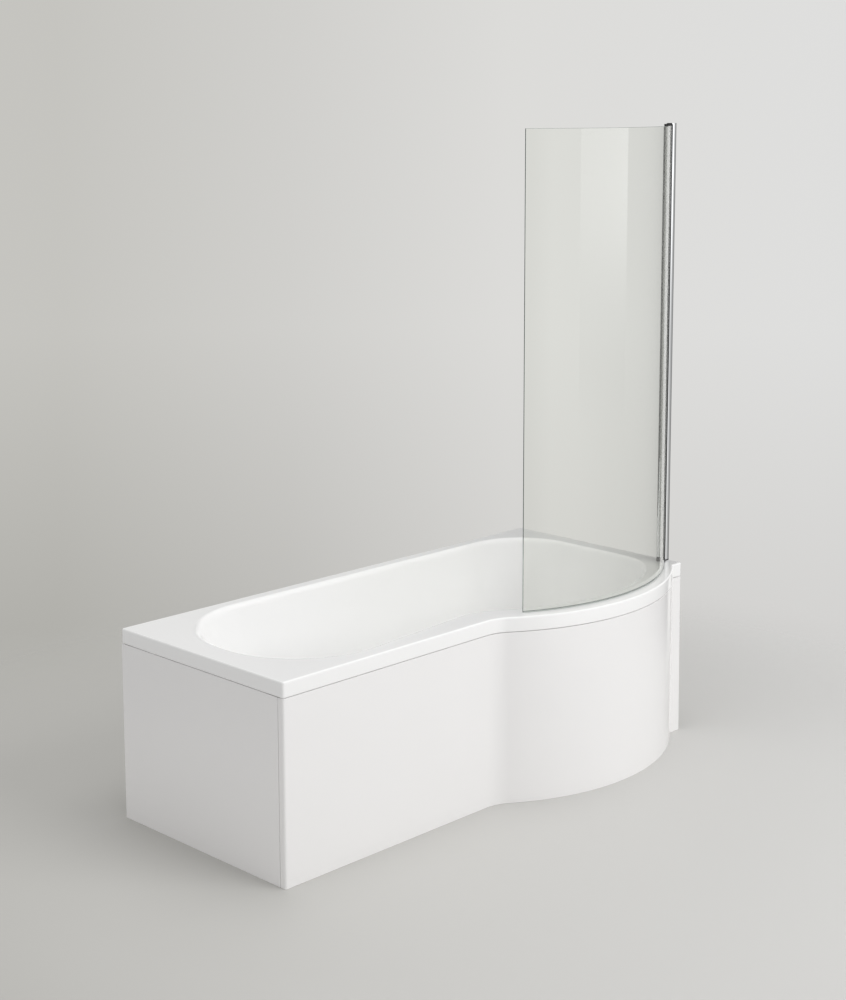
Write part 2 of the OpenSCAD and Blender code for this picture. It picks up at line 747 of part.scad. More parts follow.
pivot = [right_x - pivot_from_wall, front_y + pivot_from_front];
screen_cy = -wide_width / 2 + screen_inset + screen_r;
screen_cx = pivot.x - sqrt(pow(screen_r - glass_offset, 2) - pow(pivot.y - screen_cy, 2));
screen_c = [screen_cx, screen_cy];
hinge_a = direction(screen_c, pivot);
gasket_t = 1;
slot_half = glass_t / 2 + gasket_t;
jaw_half = slot_half + jaw_t;
jaw_start = 2;
slot_start = 8.5;
glass_start = 10;
glass_end = glass_start + glass_length;
glass_z = rim_height + glass_gap;
glass_top = glass_z + glass_height;
rail_bottom = rim_height + 15;
rail_top = glass_top - 5.5;
post_slack = 0.4;
post_from_wall = 4;
post_hollow = [10, 11];
cap_t = 2;
pivot_play = 0.5;
bracket_t = 9;
channel_top = glass_top + 6.5;
bow_r = 30;
lens_c = [right_x - channel_depth / 2, pivot.y];
socket_r = barrel_r + 0.5;
pin_r = 4;
bush_r = 5.5;
bush_h = 20;
bush_play = 0.05;
neck_w = 15;
post_x = pivot.x + 7;
post_screw_d = 3.5;
post_screw_l = 9;
post_head_h = 2;
channel_hole_d = 5.2;

function arc_deg(s) = s / screen_r * 180 / PI;

// Plan of a strip that follows the glass, between two radii and two distances from the hinge
module glass_plan(r0, r1, s0, s1) {
    steps = 8;
    intersection() {
        translate(screen_c) difference() {
            circle(r1, $fn = 200);
            circle(r0, $fn = 200);
        }
        translate(screen_c) polygon(concat([[0, 0]],
            [for (k = [0:steps]) polar(1.2 * r1, hinge_a - arc_deg(s0 + (s1 - s0) * k / steps))]));
    }
}

module glass_strip(r0, r1, s0, s1, z0, z1) {
    translate([0, 0, z0]) linear_extrude(z1 - z0) glass_plan(r0, r1, s0, s1);
}

// Bowed outline of the wall profile, thinned by inset
module lens(inset) {
    bow_shift = bow_r - channel_w / 2;
    translate(lens_c) intersection() {
        translate([0, bow_shift]) circle(bow_r - inset);
        translate([0, -bow_shift]) circle(bow_r - inset);
    }
}

module lens_between(inset, x0, x1, z0, z1) {
    translate([0, 0, z0]) linear_extrude(z1 - z0) intersection() {
        lens(inset);
        translate([x0, pivot.y - channel_w]) square([x1 - x0, 2 * channel_w]);
    }
}

channel_x = right_x - channel_depth;
hole_from_end = 60;
channel_hole_pitch = (channel_top - rim_height - 2 * hole_from_end) / (channel_holes - 1);
post_screw_from_end = 150;
post_screw_zs = [rim_height + post_screw_from_end, (rim_height + channel_top) / 2,
    channel_top - post_screw_from_end];

module at_post_screws() {
    for (z = post_screw_zs) translate([lens_c.x, pivot.y + channel_w / 2, z]) rotate([90, 0, 0]) children();
}

module wall_channel() {
    color("silver") difference() {
        lens_between(0, channel_x, right_x, rim_height, channel_top);
        lens_between(channel_t, channel_x - 1, right_x - channel_t, rim_height - 1, channel_top + 1);
        for (k = [0:channel_holes - 1])
            translate([right_x + 1, pivot.y, rim_height + hole_from_end + k * channel_hole_pitch])
                rotate([0, -90, 0]) cylinder(d = channel_hole_d, h = channel_t + 2);
        at_post_screws() translate([0, 0, -1]) cylinder(d = post_screw_d, h = post_screw_l);
    }
}

module channel_cap() {
    color("dimgray")
        lens_between(channel_t, channel_x, right_x - channel_t, channel_top - cap_t, channel_top);
}

module hinge_post() {
    color("silver") difference() {
        lens_between(channel_t + post_slack, post_x, right_x - post_from_wall,
            rail_bottom - pivot_play, rail_top + pivot_play);
        translate([pivot.x, pivot.y, rim_height]) cylinder(r = socket_r, h = 2 * glass_height);
        translate([channel_x + post_from_wall, pivot.y - post_hollow.y / 2, rim_height])
            cube([post_hollow.x, post_hollow.y, 2 * glass_height]);
        at_post_screws() cylinder(d = post_screw_d, h = post_screw_l);
    }
}

module post_screws() {
    color("silver") at_post_screws() {
        cylinder(d = post_screw_d, h = post_screw_l);
        translate([0, 0, -post_head_h]) cylinder(d = 2 * post_screw_d, h = post_head_h);
    }
}

module pivot_bracket(z0, z1) {
    color("dimgray") translate([0, 0, z0]) linear_extrude(z1 - z0) difference() {
        union() {
            translate(pivot) circle(barrel_r);
            translate([pivot.x, pivot.y - neck_w / 2]) square([right_x - post_from_wall - pivot.x, neck_w]);
        }
        translate(pivot) circle(pin_r);
    }
}

module pivot_bracket_top() pivot_bracket(rail_top + pivot_play, rail_top + pivot_play + bracket_t);

module pivot_bracket_bottom() pivot_bracket(rim_height, rail_bottom - pivot_play);

module pivot_pins() {
    color("gray") translate([pivot.x, pivot.y, 0]) {
        translate([0, 0, rim_height]) cylinder(r = pin_r, h = rail_bottom - rim_height + bush_h - 2);
        translate([0, 0, rail_top - bush_h + 2])
            cylinder(r = pin_r, h = bush_h - 2 + pivot_play + bracket_t);
    }
}

module pivot_bushes() {
    color("white") translate([pivot.x, pivot.y, 0])
        for (z = [rail_bottom, rail_top - bush_h])
            translate([0, 0, z]) ring(bush_r, pin_r + bush_play, bush_h);
}

module hinge_rail() {
    color("silver") translate([0, 0, rail_bottom]) linear_extrude(rail_top - rail_bottom) difference() {
        union() {
            translate(pivot) circle(barrel_r);
            glass_plan(screen_r - jaw_half, screen_r + jaw_half, jaw_start, jaw_length);
        }
        translate(pivot) circle(bush_r);
        glass_plan(screen_r - slot_half, screen_r + slot_half, slot_start, jaw_length + 1);
    }
}

// The glass itself, which the gasket and the caps are cut to
module pane() {
    glass_strip(screen_r - glass_t / 2, screen_r + glass_t / 2, glass_start, glass_end, glass_z, glass_top);
}

module rail_cap(z0, z1) {
    color("dimgray") difference() {
        glass_strip(screen_r - jaw_half, screen_r + jaw_half, slot_start + 2, jaw_length, z0, z1);
        pane();
    }
}

module rail_cap_top() rail_cap(rail_top, rail_top + bracket_t);

module rail_cap_bottom() rail_cap(rim_height + fit, rail_bottom);

module glazing_gasket() {
    color("dimgray") difference() {
        glass_strip(screen_r - slot_half, screen_r + slot_half, slot_start, jaw_length + 0.5,
            rail_bottom, rail_top);
        pane();
    }
}

module screen_glass() {
    color("lightcyan", 0.4) pane();
}

module bottom_seal() {
    seal_half = glass_t / 2 - 0.5;
    color("whitesmoke", 0.6) glass_strip(screen_r - seal_half, screen_r + seal_half,
        jaw_length + fit, glass_end, rim_height + fit, glass_z);
}

bath_shell();
baseboard();
rim_batten_back();
rim_batten_front();
rim_batten_narrow_end();
rim_batten_shower_end();
leg_rail_narrow();
leg_rail_wide();
centre_leg_plate();
leg_studs();
leg_nuts();
leg_feet();
rail_screws();
wall_brackets();
bracket_screws();
waste_fitting();
waste_gaskets();
waste_backnut();
waste_cartridge();
waste_plug();
plug_seal();
front_panel();
end_panel();
panel_clips();
clip_screws();
floor_batten_front();
floor_batten_end();
wall_channel();
channel_cap();
hinge_post();
post_screws();
pivot_bracket_top();
pivot_bracket_bottom();
pivot_pins();
pivot_bushes();
hinge_rail();
rail_cap_top();
rail_cap_bottom();
glazing_gasket();
screen_glass();
bottom_seal();
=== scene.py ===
# P-shaped shower bath with a curved glass screen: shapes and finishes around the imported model
import json
from math import atan, atan2, cos, hypot, pi, radians, sin, sqrt, tan
import bpy
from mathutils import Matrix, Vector

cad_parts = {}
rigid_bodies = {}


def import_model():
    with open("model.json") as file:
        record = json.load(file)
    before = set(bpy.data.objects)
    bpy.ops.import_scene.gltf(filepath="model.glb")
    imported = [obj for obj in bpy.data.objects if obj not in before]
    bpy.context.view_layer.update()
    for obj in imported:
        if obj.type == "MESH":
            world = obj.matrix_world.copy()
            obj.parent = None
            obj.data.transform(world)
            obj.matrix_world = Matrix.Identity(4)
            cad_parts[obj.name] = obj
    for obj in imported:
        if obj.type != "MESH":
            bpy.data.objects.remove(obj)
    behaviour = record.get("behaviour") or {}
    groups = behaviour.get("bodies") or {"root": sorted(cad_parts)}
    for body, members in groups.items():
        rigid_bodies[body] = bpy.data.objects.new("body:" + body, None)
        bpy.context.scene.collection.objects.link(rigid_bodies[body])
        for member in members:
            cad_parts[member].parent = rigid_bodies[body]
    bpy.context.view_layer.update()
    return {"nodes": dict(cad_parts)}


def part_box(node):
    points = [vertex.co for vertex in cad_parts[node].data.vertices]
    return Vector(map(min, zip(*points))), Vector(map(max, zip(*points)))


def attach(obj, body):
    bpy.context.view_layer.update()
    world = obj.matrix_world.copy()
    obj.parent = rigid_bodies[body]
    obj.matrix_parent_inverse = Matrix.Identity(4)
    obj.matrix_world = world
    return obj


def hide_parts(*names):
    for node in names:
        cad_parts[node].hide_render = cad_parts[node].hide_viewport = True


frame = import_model()
mm = 0.001
print("frame loaded:", len(frame["nodes"]), "nodes")


# shaping helpers

def deselectAll():
    for obj in bpy.context.view_layer.objects:
        obj.select_set(False)


def makeActive(piece):
    deselectAll()
    piece.select_set(True)
    bpy.context.view_layer.objects.active = piece


def inEditMode(piece, *steps):    # each step is an edit-mode operator, run on the whole mesh
    makeActive(piece)
    bpy.ops.object.mode_set(mode="EDIT")
    for step in steps:
        bpy.ops.mesh.select_all(action="SELECT")
        step()
    bpy.ops.object.mode_set(mode="OBJECT")


def finishModifiers(piece):
    makeActive(piece)
    for modifier in list(piece.modifiers):
        bpy.ops.object.modifier_apply(modifier=modifier.name)


def roundEdges(piece, width, segments=2, angle=35):
    bevel = piece.modifiers.new("roundEdges", "BEVEL")
    bevel.width, bevel.segments = width, segments
    bevel.limit_method, bevel.angle_limit = "ANGLE", radians(angle)
    bevel.harden_normals = False
    finishModifiers(piece)


def smoothByAngle(piece, angle=35, flatFaces=True):    # broad faces stay true beside a rounded edge
    makeActive(piece)
    bpy.ops.object.shade_smooth_by_angle(angle=radians(angle))
    if flatFaces:
        weighted = piece.modifiers.new("flatFaces", "WEIGHTED_NORMAL")
        weighted.mode, weighted.weight, weighted.keep_sharp = "FACE_AREA", 50, True
        finishModifiers(piece)


def register(piece, body, slotName, *nodeNames):
    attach(piece, body)
    if nodeNames:
        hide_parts(*nodeNames)


def gridPiece(name, rings, rowFinish=None):    # a grid whose rows are laid on rings of points, in mm
    rows, columns = len(rings) - 1, len(rings[0]) - 1
    deselectAll()
    bpy.ops.mesh.primitive_grid_add(x_subdivisions=columns, y_subdivisions=rows, size=1)
    piece = bpy.context.object
    piece.name = piece.data.name = name
    place = [(round((v.co.y + 0.5) * rows), round((v.co.x + 0.5) * columns))
             for v in piece.data.vertices]
    if rowFinish:
        for face in piece.data.polygons:
            face.material_index = rowFinish[min(place[v][0] for v in face.vertices)]
    for vertex, (row, column) in zip(piece.data.vertices, place):
        vertex.co = Vector(rings[row][column]) * mm
    inEditMode(piece, lambda: bpy.ops.mesh.remove_doubles(threshold=1e-5),
               lambda: bpy.ops.mesh.normals_make_consistent(inside=False))
    return piece


def copyOfNode(nodeName, name, edge=0.0004, segments=2, angle=35):
    source = frame["nodes"][nodeName]
    piece = bpy.data.objects.new(name, source.data.copy())
    piece.data.name = name
    piece.data.materials.clear()
    bpy.context.scene.collection.objects.link(piece)
    makeActive(piece)
    bpy.ops.mesh.customdata_custom_splitnormals_clear()
    inEditMode(piece, lambda: bpy.ops.mesh.remove_doubles(threshold=2e-5),
               lambda: bpy.ops.mesh.dissolve_limited(angle_limit=radians(0.4)))
    if edge:
        roundEdges(piece, edge, segments, angle)
    smoothByAngle(piece, angle)
    return piece


# shape of the bath, in mm

bath = {
    "length": 1700, "width": 850, "narrowWidth": 700, "rimHeight": 565, "lipDepth": 43, "shell": 5,
    "rimRounding": 5, "cornerRadius": 7, "bulgeRadius": 660, "entryRadius": 120,
    "wallStrip": 45, "stripBlend": 6, "underBlend": 3, "lipArris": 0.6, "deckStarts": 2,
    "deck": [85, 62, 46, 97, 91], "deckFront": 32,    # narrow end, shower end, back, waist, bulge
    "batter": [290, 40, 35, 40, 40],    # how far the foot of each wall of the well lies further in
    "wellRadii": [294, 265, 200, 200, 200],    # narrow back and front, waist, wide front and back
    "footRadii": [200, 185, 240, 160, 160], "wellEdge": 12, "cove": 80, "wellDepth": 410,
    "edgeEnds": 0.05, "coveStarts": 0.8,    # shares of the wall's height
    "floorFall": 5, "wastePlace": (590, 45), "sumpRadius": 43, "wasteHole": 26,
    "cornerSteps": 22, "entrySteps": 16, "bulgeSteps": 64, "stripSteps": 5, "roundingSteps": 9,
    "innerSteps": (12, 10, 18), "underSteps": (4, 4, 10),    # over the edge, down the wall, round the cove
    "underShares": (0.3, 0.97), "deckShares": (0.5, 0.95),
    "floorShares": (0.03, 0.2, 0.4, 0.6, 0.8, 0.93),    # rings from the cove to the sump
}
leftX, rightX = -bath["length"] / 2, bath["length"] / 2
backY = bath["width"] / 2
frontY = backY - bath["narrowWidth"]
bulgeY = bath["bulgeRadius"] - bath["width"] / 2
stripX = rightX - bath["wallStrip"]
stripY = frontY - bath["stripBlend"]
bulgeX = stripX - sqrt((bath["bulgeRadius"] + bath["stripBlend"]) ** 2 - (bulgeY - stripY) ** 2)
entryY = frontY - bath["entryRadius"]
entryX = bulgeX - sqrt((bath["bulgeRadius"] + bath["entryRadius"]) ** 2 - (bulgeY - entryY) ** 2)
bulgeCentre, entryCentre, stripCentre = (bulgeX, bulgeY), (entryX, entryY), (stripX, stripY)
endReach = 4    # the points nearest to the ends of a straight line lie this far from them
leastRadius = 0.001
lipZ = bath["rimHeight"] - bath["lipDepth"]
floorZ = bath["rimHeight"] - bath["wellDepth"]
baseZ = floorZ - bath["floorFall"] - bath["shell"]


def turn(a, b):    # angle in degrees of the line from a to b
    return atan2(b[1] - a[1], b[0] - a[0]) * 180 / pi


def arc(centre, radius, start, end, steps, first=0):
    angles = [radians(start + (end - start) * k / steps) for k in range(first, steps + 1)]
    return [(centre[0] + radius * cos(a), centre[1] + radius * sin(a)) for a in angles]


corner, entry = bath["cornerSteps"], bath["entrySteps"]
bulge, strip = bath["bulgeSteps"], bath["stripSteps"]
straights = {    # last point before each straight, and how many points are added on it
    corner: 8, 2 * corner + 1: 16,
    3 * corner + entry + bulge + 2: 10, 4 * corner + entry + bulge + 3: 28}


def spread(ring):
    out = []
    for k, point in enumerate(ring):
        out.append(point)
        if k in straights:
            after = ring[(k + 1) % len(ring)]
            length = hypot(after[0] - point[0], after[1] - point[1])
            inner, close = straights[k] - 1, endReach / length
            shares = [close] + [j / inner for j in range(1, inner)] + [1 - close]
            out += [(point[0] + (after[0] - point[0]) * s, point[1] + (after[1] - point[1]) * s)
                    for s in shares]
    return out


def rimRing(inset):
    radius = max(bath["cornerRadius"] - inset, leastRadius)
    keep = max(bath["cornerRadius"], inset)
    x0, x1, y0, y1 = leftX + keep, rightX - keep, frontY + keep, backY - keep
    turnIn, turnOut = turn(entryCentre, bulgeCentre), turn(bulgeCentre, stripCentre)
    return spread(
        arc((x0, y1), radius, 90, 180, corner) + arc((x0, y0), radius, 180, 270, corner)
        + arc(entryCentre, bath["entryRadius"] + inset, 90, turnIn, entry)
        + arc(bulgeCentre, bath["bulgeRadius"] - inset, turnIn + 180, turnOut + 360, bulge, 1)
        + arc(stripCentre, bath["stripBlend"] + inset, turnOut + 180, 90, strip, 1)
        + arc((x1, y0), radius, 270, 360, corner - strip - 1) + arc((x1, y1), radius, 0, 90, corner))


def wellRing(deck, radii):
    taper = atan((bath["deck"][3] - bath["deckFront"]) / (entryX - leftX - bath["deck"][0]))
    along, inward = (cos(taper), sin(taper)), (-sin(taper), cos(taper))
    onFront = (entryX, frontY + deck[3])    # a point of the slanting front edge of the well
    narrowX, wideX, wellBackY = leftX + deck[0], rightX - deck[1], backY - deck[2]
    bulgeR = bath["bulgeRadius"] - deck[4]
    narrowBack, narrowFront, waist, wideFront, wideBack = radii
    nearX = narrowX + narrowFront
    centreFront = (nearX, onFront[1] + (nearX - onFront[0]) * tan(taper) + narrowFront / cos(taper))
    offset = [onFront[i] - waist * inward[i] - bulgeCentre[i] for i in (0, 1)]
    ahead = offset[0] * along[0] + offset[1] * along[1]
    step = ahead + sqrt(ahead * ahead - offset[0] ** 2 - offset[1] ** 2 + (bulgeR + waist) ** 2)
    centreWaist = tuple(onFront[i] - waist * inward[i] - along[i] * step for i in (0, 1))
    turnX = wideX - wideFront
    centreWide = (turnX, bulgeY - sqrt((bulgeR - wideFront) ** 2 - (turnX - bulgeX) ** 2))
    turnIn, turnOut = turn(centreWaist, bulgeCentre), turn(bulgeCentre, centreWide)
    degreesOver = taper * 180 / pi
    return spread(
        arc((narrowX + narrowBack, wellBackY - narrowBack), narrowBack, 90, 180, corner)
        + arc(centreFront, narrowFront, 180, 270 + degreesOver, corner)
        + arc(centreWaist, waist, 90 + degreesOver, turnIn, entry)
        + arc(bulgeCentre, bulgeR, turnIn + 180, turnOut + 360, bulge, 1)
        + arc(centreWide, wideFront, turnOut, 0, corner, 1)
        + arc((wideX - wideBack, wellBackY - wideBack), wideBack, 0, 90, corner))


def grown(radii, by):    # a ring drawn further in has smaller corners and a larger waist
    return [r + sense * by for r, sense in zip(radii, [-1, -1, 1, -1, -1])]


def deckLine(by):
    return wellRing([d + by for d in bath["deck"]], grown(bath["wellRadii"], by))


def footLine(by):
    foot = [d + b + by for d, b in zip(bath["deck"], bath["batter"])]
    return wellRing(foot, grown(bath["footRadii"], by))


def at(ring, z):
    return [(x, y, z) for x, y in ring]


def between(a, b, share):
    return [tuple(p + (q - p) * share for p, q in zip(u, v)) for u, v in zip(a, b)]


def curved(a, b, c, share):
    return between(between(a, b, share), between(b, c, share), share)


def wellFace(out, deckZ, footZ, steps):    # rings of one face of the well, from the deck to its floor
    start, edge = at(deckLine(-bath["wellEdge"] - out), deckZ), at(deckLine(-out), deckZ)
    foot, flat = at(footLine(-out), footZ), at(footLine(bath["cove"] - out), footZ)
    upper, lower = (between(edge, foot, bath[k]) for k in ("edgeEnds", "coveStarts"))
    over, wall, cove = steps
    return ([curved(start, edge, upper, k / over) for k in range(over + 1)]
            + [between(upper, lower, k / wall) for k in range(1, wall + 1)]
            + [curved(lower, foot, flat, k / cove) for k in range(1, cove + 1)])


def roundWaste(radius, z):
    cx, cy = bath["wastePlace"]
    return [(cx + radius * cos(radians(a)), cy + radius * sin(radians(a)), z)
            for a in (turn((cx, cy), p) for p in footLine(bath["cove"]))]


def makeBathShell():
    rim, shell = bath["rimHeight"], bath["shell"]
    blend, arris = bath["underBlend"], bath["lipArris"]
    under = wellFace(shell, rim - shell, baseZ, bath["underSteps"])
    waste = roundWaste(bath["wasteHole"], baseZ)
    rings = [waste] + [between(waste, under[-1], share) for share in bath["underShares"]] + under[::-1]
    rings += [at(rimRing(shell + blend), rim - shell), at(rimRing(shell), rim - shell - blend),
              at(rimRing(shell), lipZ)]
    underRows = len(rings) - 1
    rings += [at(rimRing(arris), lipZ), at(rimRing(0), lipZ + arris)]
    rounding, steps = bath["rimRounding"], bath["roundingSteps"]
    for a in [radians(90 * k / steps) for k in range(steps + 1)]:
        rings.append(at(rimRing(rounding * (1 - cos(a))), rim - rounding * (1 - sin(a))))
    inside = wellFace(0, rim, floorZ, bath["innerSteps"])
    deck = at(rimRing(rounding + bath["deckStarts"]), rim)
    rings += [deck] + [between(deck, inside[0], share) for share in bath["deckShares"]] + inside
    sump = roundWaste(bath["sumpRadius"], floorZ - bath["floorFall"])
    for share in bath["floorShares"]:
        fall = bath["floorFall"] * share * share * (3 - 2 * share)
        rings.append([(x, y, floorZ - fall) for x, y, z in between(inside[-1], sump, share)])
    rings += [sump, roundWaste(bath["wasteHole"], floorZ - bath["floorFall"]), waste]
    rings = [ring + ring[:1] for ring in rings]
    finish = [1] * underRows + [0] * (len(rings) - 1 - underRows)
    piece = gridPiece("bathShell", rings, finish)
    smoothByAngle(piece, 40, False)
    return piece


bathShell = makeBathShell()
print("bath shell:", len(bathShell.data.polygons), "faces")


# panels, in mm

panel = {"thickness": 4, "top": 519.5, "tongueInset": 6, "tongueTop": 541.5, "foot": 22,
         "return": 20, "edgeRadius": 1.2, "straightSteps": 12}


def roundedLoop(corners, radius, steps=3):    # a closed section with a fillet at every corner
    loop = []
    for k, (x, z) in enumerate(corners):
        before, after = corners[k - 1], corners[(k + 1) % len(corners)]
        a = (Vector(before) - Vector((x, z))).normalized()
        b = (Vector(after) - Vector((x, z))).normalized()
        p, q = Vector((x, z)) + a * radius, Vector((x, z)) + b * radius
        for j in range(steps + 1):
            s = j / steps
            point = p * (1 - s) ** 2 + Vector((x, z)) * 2 * s * (1 - s) + q * s * s
            loop.append(tuple(point))
    return loop


def panelPath(inset):
    radius = max(bath["cornerRadius"] - inset, leastRadius)
    keep = max(bath["cornerRadius"], inset)
    turnIn, turnOut = turn(entryCentre, bulgeCentre), turn(bulgeCentre, stripCentre)
    nearCorner = arc((leftX + keep, frontY + keep), radius, 180, 270, corner)
    entryArc = arc(entryCentre, bath["entryRadius"] + inset, 90, turnIn, entry)
    a, b = nearCorner[-1], entryArc[0]
    length, steps = b[0] - a[0], panel["straightSteps"]
    shares = [endReach / length] + [k / steps for k in range(1, steps)] + [1 - endReach / length]
    straight = [(a[0] + length * s, a[1] + (b[1] - a[1]) * s) for s in shares]
    x, y, back = leftX + inset, frontY + inset, panel["return"]
    return ([(x, frontY + back), (x, frontY + (back + keep) / 2)] + nearCorner + straight + entryArc
            + arc(bulgeCentre, bath["bulgeRadius"] - inset, turnIn + 180, turnOut + 360, bulge, 1)
            + arc(stripCentre, bath["stripBlend"] + inset, turnOut + 180, 90, strip, 1)
            + [(stripX + endReach, y), (rightX - endReach, y), (rightX, y)])


def makeFrontPanel():
    t, top, foot = panel["thickness"], panel["top"], panel["foot"]
    tongue, tongueTop = panel["tongueInset"], panel["tongueTop"]
    section = roundedLoop(
        [(0, 0), (0, top), (tongue, top), (tongue, tongueTop), (tongue + t, tongueTop),
         (tongue + t, top - t), (t, top - t), (t, t), (foot, t), (foot, 0)], panel["edgeRadius"])
    section += section[:1]
    paths = [panelPath(inset) for inset, z in section]
    rings = []
    last = len(paths[0]) - 1
    for k in range(last + 1):    # the tongue stops short of the wall, with its last rings still in order
        tongueEnd = rightX - tongue - (last - k)
        rings.append([(min(path[k][0], tongueEnd) if z > top - t / 2 else path[k][0], path[k][1], z)
                      for path, (inset, z) in zip(paths, section)])
    piece = gridPiece("frontPanel", rings)
    inEditMode(piece, lambda: bpy.ops.mesh.fill_holes(sides=0),
               lambda: bpy.ops.mesh.normals_make_consistent(inside=False))
    smoothByAngle(piece, 40)
    return piece


frontPanel = makeFrontPanel()
endPanel = copyOfNode("end_panel", "endPanel", 0.0008, 3)
print("panels made")


# screen, in mm

screen = {"hingeFromWall": 33, "hingeFromFront": 63.2, "radius": 650, "inset": 41, "glassOffset": 9.8,
          "thickness": 6, "start": 10, "length": 813, "bottom": 569, "top": 1970, "steps": 192,
          "arris": 0.7, "channelDepth": 22, "channelFoot": 4, "jaw": 26, "lap": 4, "outerJaw": 3.4}
pivot = (rightX - screen["hingeFromWall"], frontY + screen["hingeFromFront"])
screenCy = screen["inset"] + screen["radius"] - bath["width"] / 2
screenCx = pivot[0] - sqrt((screen["radius"] - screen["glassOffset"]) ** 2 - (pivot[1] - screenCy) ** 2)
screenCentre = (screenCx, screenCy)
hingeTurn = turn(screenCentre, pivot)


def fromScreenCentre(face):    # level line from the middle of the screen's curve to a face
    return Vector((face.center.x - screenCx * mm, face.center.y - screenCy * mm, 0))


def makeScreenGlass():
    radius, bottom, top = screen["radius"] * mm, screen["bottom"], screen["top"]
    first = radians(hingeTurn) - screen["start"] / screen["radius"]
    x, y = screenCx * mm + radius * cos(first), screenCy * mm + radius * sin(first)
    deselectAll()
    bpy.ops.mesh.primitive_plane_add(
        size=1, location=(x, y, (bottom + top) / 2 * mm), rotation=(pi / 2, 0, first))
    piece = bpy.context.object
    piece.name = piece.data.name = "screenGlass"
    piece.scale = (screen["thickness"] * mm, (top - bottom) * mm, 1)
    bpy.ops.object.transform_apply(location=True, rotation=True, scale=True)
    inEditMode(piece, lambda: bpy.ops.mesh.spin(
        steps=screen["steps"], angle=screen["length"] / screen["radius"],
        center=(screenCx * mm, screenCy * mm, 0), axis=(0, 0, 1)))
    inEditMode(piece, lambda: bpy.ops.mesh.remove_doubles(threshold=1e-6),
               lambda: bpy.ops.mesh.normals_make_consistent(inside=False))
    roundEdges(piece, screen["arris"] * mm, 2)
    for face in piece.data.polygons:    # 0 is the pane's two faces, 1 its edges
        broad = abs(face.normal.dot(fromScreenCentre(face).normalized())) > 0.95
        face.material_index = 0 if broad else 1
    smoothByAngle(piece, 30)
    return piece


screenGlass = makeScreenGlass()
print("screen glass:", len(screenGlass.data.polygons), "faces")


# materials

def addNode(tree, kind, inputs=None, **settings):    # an input is a value, or a socket to link from
    node = tree.nodes.new("ShaderNode" + kind)
    for key, value in settings.items():
        setattr(node, key, value)
    for key, value in (inputs or {}).items():
        if isinstance(value, bpy.types.NodeSocket):
            tree.links.new(value, node.inputs[key])
        else:
            node.inputs[key].default_value = value
    return node


def newGroup(name, inputs, outputs):
    tree = bpy.data.node_groups.new(name, "ShaderNodeTree")
    for socket, kind in inputs:
        tree.interface.new_socket(name=socket, in_out="INPUT", socket_type="NodeSocket" + kind)
    for socket, kind in outputs:
        tree.interface.new_socket(name=socket, in_out="OUTPUT", socket_type="NodeSocket" + kind)
    return tree, tree.nodes.new("NodeGroupInput"), tree.nodes.new("NodeGroupOutput")


def grouped(tree, group, inputs):
    return addNode(tree, "Group", inputs, node_tree=group)


def mathNode(tree, operation, a, b):
    return addNode(tree, "Math", {0: a, 1: b}, operation=operation).outputs[0]


def mixColours(tree, share, first, second):
    return addNode(tree, "Mix", {0: share, 6: first, 7: second}, data_type="RGBA").outputs[2]


def mixShaders(tree, share, first, second, out):    # share 0 shows the first, 1 the second
    mix = addNode(tree, "MixShader", {0: share, 1: first.outputs[0], 2: second.outputs[0]})
    tree.links.new(mix.outputs[0], out.inputs["Surface"])


def ranged(tree, value, start, end, low=0.0, high=1.0, kind="LINEAR"):
    inputs = {"Value": value, "From Min": start, "From Max": end, "To Min": low, "To Max": high}
    return addNode(tree, "MapRange", inputs, interpolation_type=kind).outputs[0]


def makeSoftWaves():    # shallow waves of moulded plastic or glass, and broad patches
    tree, gin, gout = newGroup("softWaves", [("Vector", "Vector"), ("Scale", "Float"), ("Grain", "Float")],
                               [("Height", "Float"), ("Patch", "Float"), ("Fine", "Float")])
    vector, scale, grain = (gin.outputs[k] for k in ("Vector", "Scale", "Grain"))
    for output, size, detail in (("Height", scale, 1.0), ("Patch", 2.5, 2.0), ("Fine", grain, 3.0)):
        noise = addNode(tree, "TexNoise", {"Vector": vector, "Scale": size, "Detail": detail})
        tree.links.new(noise.outputs["Fac"], gout.inputs[output])
    return tree


def makeWoodGrain():
    tree, gin, gout = newGroup("woodGrain", [("Vector", "Vector"), ("Light", "Color"), ("Dark", "Color")],
                               [("Color", "Color"), ("Height", "Float")])
    vector, light, dark = (gin.outputs[k] for k in ("Vector", "Light", "Dark"))
    rings = addNode(tree, "TexWave", {"Vector": vector, "Scale": 9.0, "Distortion": 6.0, "Detail": 2.0,
                                      "Detail Scale": 0.6}, wave_type="RINGS", rings_direction="X")
    pores = addNode(tree, "TexNoise", {"Vector": vector, "Scale": 160.0, "Detail": 4.0})
    blend = mathNode(tree, "MULTIPLY", rings.outputs["Fac"], pores.outputs["Fac"])
    tree.links.new(mixColours(tree, blend, light, dark), gout.inputs["Color"])
    tree.links.new(blend, gout.inputs["Height"])
    return tree


def makeFlakes():    # pressed flakes or chopped strands, as random cells
    inputs = [("Vector", "Vector"), ("Scale", "Float"), ("Light", "Color"), ("Dark", "Color")]
    tree, gin, gout = newGroup("flakes", inputs, [("Color", "Color"), ("Height", "Float")])
    vector, scale, light, dark = (gin.outputs[k] for k, kind in inputs)
    warp = addNode(tree, "TexNoise", {"Vector": vector, "Scale": 30.0, "Detail": 2.0})
    shift = addNode(tree, "Mix", {0: 0.03, 4: vector, 5: warp.outputs["Color"]}, data_type="VECTOR")
    cell = addNode(tree, "TexVoronoi", {"Vector": shift.outputs[1], "Scale": scale, "Randomness": 1.0})
    tone = addNode(tree, "SeparateColor", {"Color": cell.outputs["Color"]})
    tree.links.new(mixColours(tree, tone.outputs["Red"], light, dark), gout.inputs["Color"])
    tree.links.new(tone.outputs["Green"], gout.inputs["Height"])
    return tree


